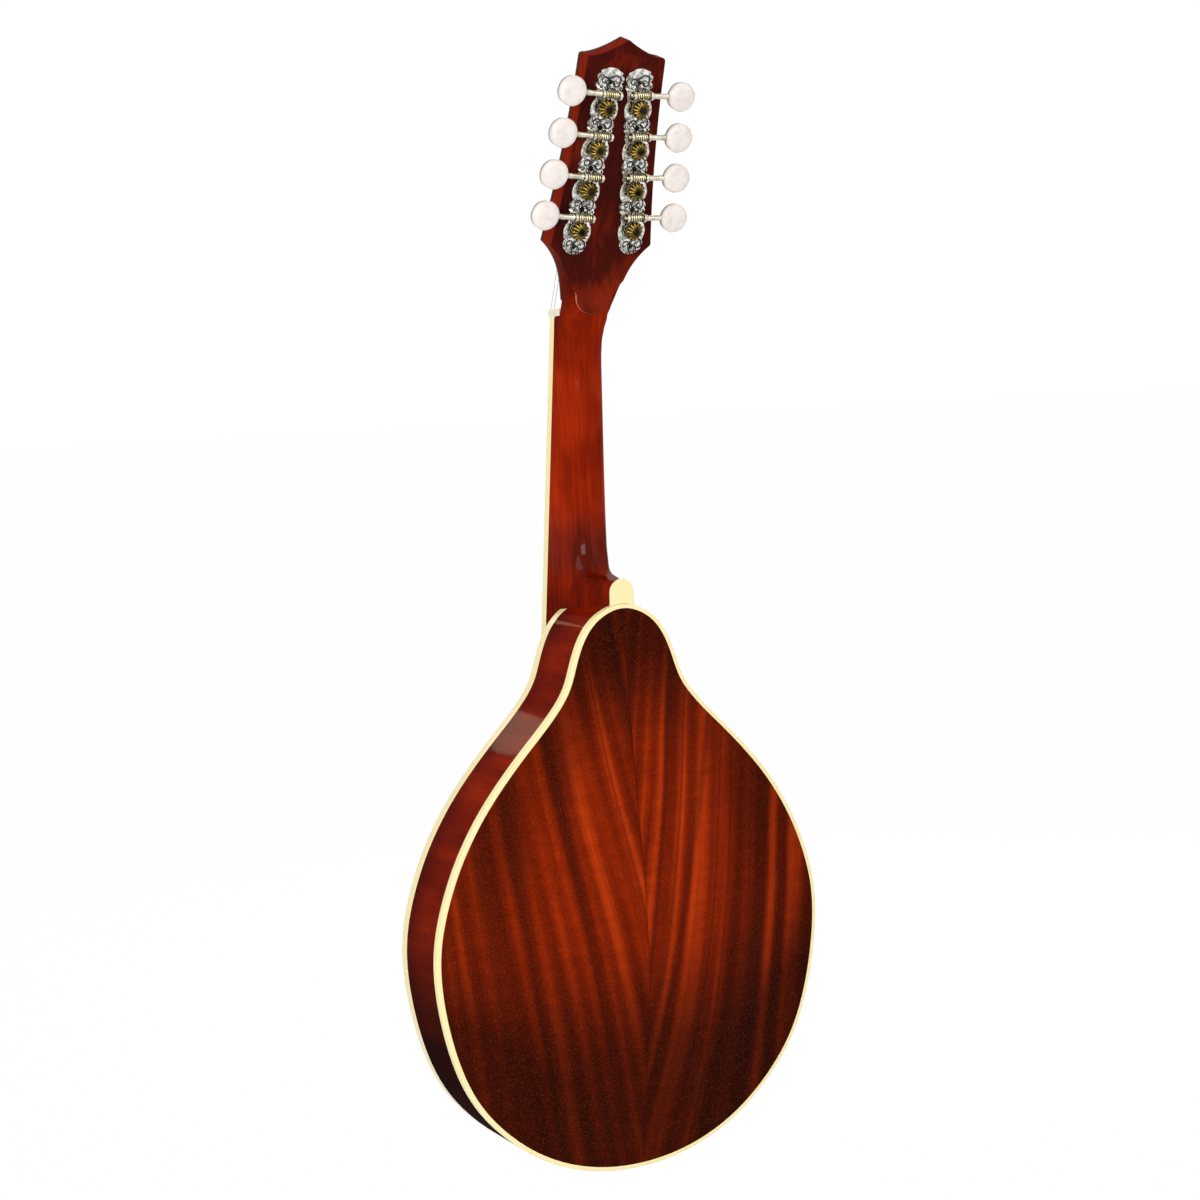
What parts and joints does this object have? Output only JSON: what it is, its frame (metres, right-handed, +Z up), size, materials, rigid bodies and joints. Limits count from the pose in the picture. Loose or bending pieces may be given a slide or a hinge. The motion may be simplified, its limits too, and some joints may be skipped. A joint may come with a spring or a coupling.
{
  "type": "mandolin",
  "caption": "Teardrop-bodied string instrument with arched back and top, oval sound hole, bound edges, movable bridge, metal tailpiece and geared tuners on a peaked headstock.",
  "frame": {"origin": "on the centre line at the root of the headstock, where the fork of a wall hanger holds the neck under the headstock's lower corners", "axes": "+Z up along the strings to the headstock, +Y out of the back, -Y out of the soundboard, +X the treble side"},
  "size_m": [0.263, 0.1189, 0.6662],
  "materials": {
    "stained_wood": "red-brown stained and glossy lacquered, ribbon figure",
    "top_wood": "stained spruce under glossy lacquer",
    "bare_wood": "plain unfinished wood inside the body",
    "binding": "aged cream celluloid, polished",
    "black_wood": "dark dense wood, satin",
    "bone": "white bone-like nut, satin",
    "steel": "plain steel",
    "bronze": "bronze-wound wire",
    "nickel": "nickel plate, engraved, slightly tarnished",
    "brass": "machined brass, tarnished",
    "pearl": "pearl-white plastic, polished"
  },
  "bodies": {
    "root": {"back_binding": "binding", "back_lining": "bare_wood", "back_plate": "stained_wood", "bridge_base": "black_wood", "cross_brace": "bare_wood", "fingerboard": "black_wood", "fingerboard_binding": "binding", "headplate": "black_wood", "heel_cap": "binding", "neck": "stained_wood", "neck_block": "bare_wood", "nut": "bone", "rib_bass": "stained_wood", "rib_treble": "stained_wood", "soundboard": "top_wood", "string_1": "bronze", "string_2": "bronze", "string_3": "bronze", "string_4": "bronze", "string_5": "steel", "string_6": "steel", "string_7": "steel", "string_8": "steel", "tail_block": "bare_wood", "tailpiece_base": "nickel", "top_binding": "binding", "top_lining": "bare_wood", "truss_rod": "steel", "truss_rod_cover": "binding", "tuner_plate_bass": "nickel", "tuner_plate_treble": "nickel"},
    "post_treble_1": {"string_post_treble_1": "brass"},
    "worm_treble_1": {"worm_shaft_treble_1": "nickel", "button_treble_1": "pearl"},
    "post_treble_2": {"string_post_treble_2": "brass"},
    "worm_treble_2": {"worm_shaft_treble_2": "nickel", "button_treble_2": "pearl"},
    "post_treble_3": {"string_post_treble_3": "brass"},
    "worm_treble_3": {"worm_shaft_treble_3": "nickel", "button_treble_3": "pearl"},
    "post_treble_4": {"string_post_treble_4": "brass"},
    "worm_treble_4": {"worm_shaft_treble_4": "nickel", "button_treble_4": "pearl"},
    "post_bass_1": {"string_post_bass_1": "brass"},
    "worm_bass_1": {"worm_shaft_bass_1": "nickel", "button_bass_1": "pearl"},
    "post_bass_2": {"string_post_bass_2": "brass"},
    "worm_bass_2": {"worm_shaft_bass_2": "nickel", "button_bass_2": "pearl"},
    "post_bass_3": {"string_post_bass_3": "brass"},
    "worm_bass_3": {"worm_shaft_bass_3": "nickel", "button_bass_3": "pearl"},
    "post_bass_4": {"string_post_bass_4": "brass"},
    "worm_bass_4": {"worm_shaft_bass_4": "nickel", "button_bass_4": "pearl"},
    "saddle": {"bridge_saddle": "black_wood"},
    "wheel_treble": {"thumbwheel_treble": "brass"},
    "wheel_bass": {"thumbwheel_bass": "brass"},
    "tailpiece_cover": {"tailpiece_cover": "nickel"}
  },
  "joints": [
    {"name": "worm_turn_treble_1", "type": "hinge", "parent": "root", "child": "worm_treble_1", "pos_m": [0.0102, 0.04647, 0.0966], "axis": [0.9976, 0.0239, 0.0656], "continuous": true},
    {"name": "post_turn_treble_1", "type": "hinge", "parent": "root", "child": "post_treble_1", "pos_m": [0.011, 0.03885, 0.09086], "axis": [0, 0.9397, -0.342], "continuous": true},
    {"name": "worm_turn_treble_2", "type": "hinge", "parent": "root", "child": "worm_treble_2", "pos_m": [0.01254, 0.03844, 0.07454], "axis": [0.9976, 0.0239, 0.0656], "continuous": true},
    {"name": "post_turn_treble_2", "type": "hinge", "parent": "root", "child": "post_treble_2", "pos_m": [0.01334, 0.03082, 0.06879], "axis": [0, 0.9397, -0.342], "continuous": true},
    {"name": "worm_turn_treble_3", "type": "hinge", "parent": "root", "child": "worm_treble_3", "pos_m": [0.01489, 0.03041, 0.05247], "axis": [0.9976, 0.0239, 0.0656], "continuous": true},
    {"name": "post_turn_treble_3", "type": "hinge", "parent": "root", "child": "post_treble_3", "pos_m": [0.01569, 0.02278, 0.04672], "axis": [0, 0.9397, -0.342], "continuous": true},
    {"name": "worm_turn_treble_4", "type": "hinge", "parent": "root", "child": "worm_treble_4", "pos_m": [0.01723, 0.02238, 0.0304], "axis": [0.9976, 0.0239, 0.0656], "continuous": true},
    {"name": "post_turn_treble_4", "type": "hinge", "parent": "root", "child": "post_treble_4", "pos_m": [0.01803, 0.01475, 0.02465], "axis": [0, 0.9397, -0.342], "continuous": true},
    {"name": "worm_turn_bass_1", "type": "hinge", "parent": "root", "child": "worm_bass_1", "pos_m": [-0.0102, 0.04647, 0.0966], "axis": [-0.9999, 0.0036, 0.0098], "continuous": true},
    {"name": "post_turn_bass_1", "type": "hinge", "parent": "root", "child": "post_bass_1", "pos_m": [-0.011, 0.03885, 0.09086], "axis": [0, 0.9397, -0.342], "continuous": true},
    {"name": "worm_turn_bass_2", "type": "hinge", "parent": "root", "child": "worm_bass_2", "pos_m": [-0.01254, 0.03844, 0.07454], "axis": [-0.9999, 0.0036, 0.0098], "continuous": true},
    {"name": "post_turn_bass_2", "type": "hinge", "parent": "root", "child": "post_bass_2", "pos_m": [-0.01334, 0.03082, 0.06879], "axis": [0, 0.9397, -0.342], "continuous": true},
    {"name": "worm_turn_bass_3", "type": "hinge", "parent": "root", "child": "worm_bass_3", "pos_m": [-0.01489, 0.03041, 0.05247], "axis": [-0.9999, 0.0036, 0.0098], "continuous": true},
    {"name": "post_turn_bass_3", "type": "hinge", "parent": "root", "child": "post_bass_3", "pos_m": [-0.01569, 0.02278, 0.04672], "axis": [0, 0.9397, -0.342], "continuous": true},
    {"name": "worm_turn_bass_4", "type": "hinge", "parent": "root", "child": "worm_bass_4", "pos_m": [-0.01723, 0.02238, 0.0304], "axis": [-0.9999, 0.0036, 0.0098], "continuous": true},
    {"name": "post_turn_bass_4", "type": "hinge", "parent": "root", "child": "post_bass_4", "pos_m": [-0.01803, 0.01475, 0.02465], "axis": [0, 0.9397, -0.342], "continuous": true},
    {"name": "wheel_turn_treble", "type": "hinge", "parent": "saddle", "child": "wheel_treble", "pos_m": [0.026, -0.05515, -0.36663], "axis": [0, 1, 0], "range_deg": [0, 680]},
    {"name": "wheel_turn_bass", "type": "hinge", "parent": "saddle", "child": "wheel_bass", "pos_m": [-0.026, -0.05515, -0.36663], "axis": [0, 1, 0], "range_deg": [0, 680]},
    {"name": "saddle_height", "type": "slide", "parent": "root", "child": "saddle", "axis": [0, 1, 0], "range_m": [0, 0.0015]},
    {"name": "cover_slide", "type": "slide", "parent": "root", "child": "tailpiece_cover", "axis": [0, 0, -1], "range_m": [0, 0.04]}
  ],
  "couplings": [
    {"joint": "post_turn_treble_1", "follows": "worm_turn_treble_1", "ratio": -0.071429},
    {"joint": "post_turn_treble_2", "follows": "worm_turn_treble_2", "ratio": -0.071429},
    {"joint": "post_turn_treble_3", "follows": "worm_turn_treble_3", "ratio": -0.071429},
    {"joint": "post_turn_treble_4", "follows": "worm_turn_treble_4", "ratio": -0.071429},
    {"joint": "post_turn_bass_1", "follows": "worm_turn_bass_1", "ratio": 0.071429},
    {"joint": "post_turn_bass_2", "follows": "worm_turn_bass_2", "ratio": 0.071429},
    {"joint": "post_turn_bass_3", "follows": "worm_turn_bass_3", "ratio": 0.071429},
    {"joint": "post_turn_bass_4", "follows": "worm_turn_bass_4", "ratio": 0.071429},
    {"joint": "wheel_turn_treble", "follows": "saddle_height", "rad_per_m": 7854},
    {"joint": "wheel_turn_bass", "follows": "saddle_height", "rad_per_m": 7854}
  ]
}
